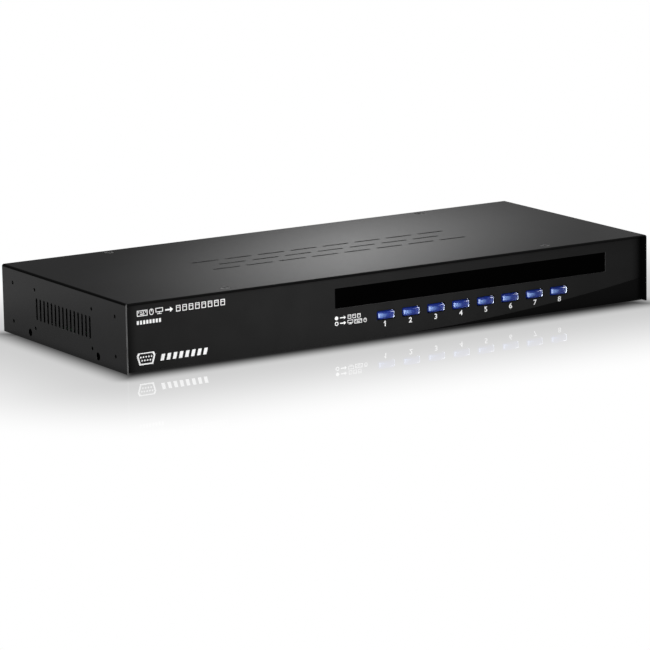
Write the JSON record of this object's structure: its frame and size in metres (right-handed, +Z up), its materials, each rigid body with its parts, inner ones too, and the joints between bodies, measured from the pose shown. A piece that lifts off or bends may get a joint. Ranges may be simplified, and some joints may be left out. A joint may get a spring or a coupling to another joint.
{
  "type": "kvm switch",
  "caption": "Low, wide rack-height steel case with a recessed black panel, a smoked lamp window, a row of blue select buttons and a rear row of video, keyboard, mouse, USB and power sockets.",
  "frame": {"origin": "on the surface that the feet stand on, under the middle of the whole object's width and depth, with the rear sockets counted", "axes": "+X to the right seen from the front, +Y from the front panel to the rear sockets, +Z up"},
  "size_m": [0.39, 0.169, 0.046],
  "materials": {
    "black_case_paint": "satin powder coat, fine texture",
    "black_panel_print": "satin printed film, two black tones",
    "smoked_lens": "polished, almost opaque",
    "blue_button": "glossy, slightly translucent",
    "white_nylon": "moulded",
    "black_plastic": "moulded",
    "plated_steel": "bright nickel or tin plate",
    "green_board": "solder mask over glass fibre",
    "brass_standoff": "turned",
    "gold_contact": "gold flash",
    "red_led": "diffused resin, unlit",
    "green_led": "diffused resin, unlit",
    "blue_insert": "moulded",
    "purple_insert": "moulded",
    "teal_insert": "moulded",
    "grey_ribbon": "ribbed vinyl",
    "chip_package": "moulded epoxy",
    "capacitor_sleeve": "shrink sleeve",
    "black_screw": "black oxide",
    "black_rubber": "matt",
    "label_film": "satin film"
  },
  "bodies": {
    "case": {"top_cover": "black_case_paint", "base_pan": "black_case_paint", "front_overlay": "black_panel_print", "display_window": "smoked_lens", "switch_housings": "black_plastic", "switch_cover_plates": "plated_steel", "snap_domes": "plated_steel", "button_board": "green_board", "button_board_standoffs": "brass_standoff", "button_board_screws": "plated_steel", "light_baffle": "black_plastic", "red_leds": "red_led", "green_leds": "green_led", "main_board": "green_board", "main_board_standoffs": "brass_standoff", "main_board_screws": "plated_steel", "video_port_shells": "plated_steel", "video_port_flanges": "plated_steel", "video_port_inserts": "blue_insert", "jackscrews": "plated_steel", "ps2_shield": "plated_steel", "keyboard_socket": "purple_insert", "mouse_socket": "teal_insert", "usb_shell": "plated_steel", "usb_tongues": "white_nylon", "usb_contacts": "gold_contact", "power_jack_housing": "black_plastic", "power_jack_pin": "plated_steel", "ribbon_cable": "grey_ribbon", "ribbon_headers": "black_plastic", "ribbon_plugs": "black_plastic", "microcontroller": "chip_package", "video_switch_chips": "chip_package", "port_controllers": "chip_package", "voltage_regulator": "chip_package", "crystal": "plated_steel", "electrolytic_capacitors": "capacitor_sleeve", "chip_resistors": "chip_package", "buzzer": "black_plastic", "cover_screws": "black_screw", "rubber_feet": "black_rubber", "rating_label": "label_film"},
    "button_1": {"button_cap_1": "blue_button", "switch_plunger_1": "white_nylon"},
    "button_2": {"button_cap_2": "blue_button", "switch_plunger_2": "white_nylon"},
    "button_3": {"button_cap_3": "blue_button", "switch_plunger_3": "white_nylon"},
    "button_4": {"button_cap_4": "blue_button", "switch_plunger_4": "white_nylon"},
    "button_5": {"button_cap_5": "blue_button", "switch_plunger_5": "white_nylon"},
    "button_6": {"button_cap_6": "blue_button", "switch_plunger_6": "white_nylon"},
    "button_7": {"button_cap_7": "blue_button", "switch_plunger_7": "white_nylon"},
    "button_8": {"button_cap_8": "blue_button", "switch_plunger_8": "white_nylon"}
  },
  "joints": [
    {"name": "button_1_press", "type": "slide", "parent": "case", "child": "button_1", "axis": [0, 1, 0], "range_m": [0, 0.0005], "stiffness_N_per_m": 800, "springref_m": -0.001},
    {"name": "button_2_press", "type": "slide", "parent": "case", "child": "button_2", "axis": [0, 1, 0], "range_m": [0, 0.0005], "stiffness_N_per_m": 800, "springref_m": -0.001},
    {"name": "button_3_press", "type": "slide", "parent": "case", "child": "button_3", "axis": [0, 1, 0], "range_m": [0, 0.0005], "stiffness_N_per_m": 800, "springref_m": -0.001},
    {"name": "button_4_press", "type": "slide", "parent": "case", "child": "button_4", "axis": [0, 1, 0], "range_m": [0, 0.0005], "stiffness_N_per_m": 800, "springref_m": -0.001},
    {"name": "button_5_press", "type": "slide", "parent": "case", "child": "button_5", "axis": [0, 1, 0], "range_m": [0, 0.0005], "stiffness_N_per_m": 800, "springref_m": -0.001},
    {"name": "button_6_press", "type": "slide", "parent": "case", "child": "button_6", "axis": [0, 1, 0], "range_m": [0, 0.0005], "stiffness_N_per_m": 800, "springref_m": -0.001},
    {"name": "button_7_press", "type": "slide", "parent": "case", "child": "button_7", "axis": [0, 1, 0], "range_m": [0, 0.0005], "stiffness_N_per_m": 800, "springref_m": -0.001},
    {"name": "button_8_press", "type": "slide", "parent": "case", "child": "button_8", "axis": [0, 1, 0], "range_m": [0, 0.0005], "stiffness_N_per_m": 800, "springref_m": -0.001}
  ]
}
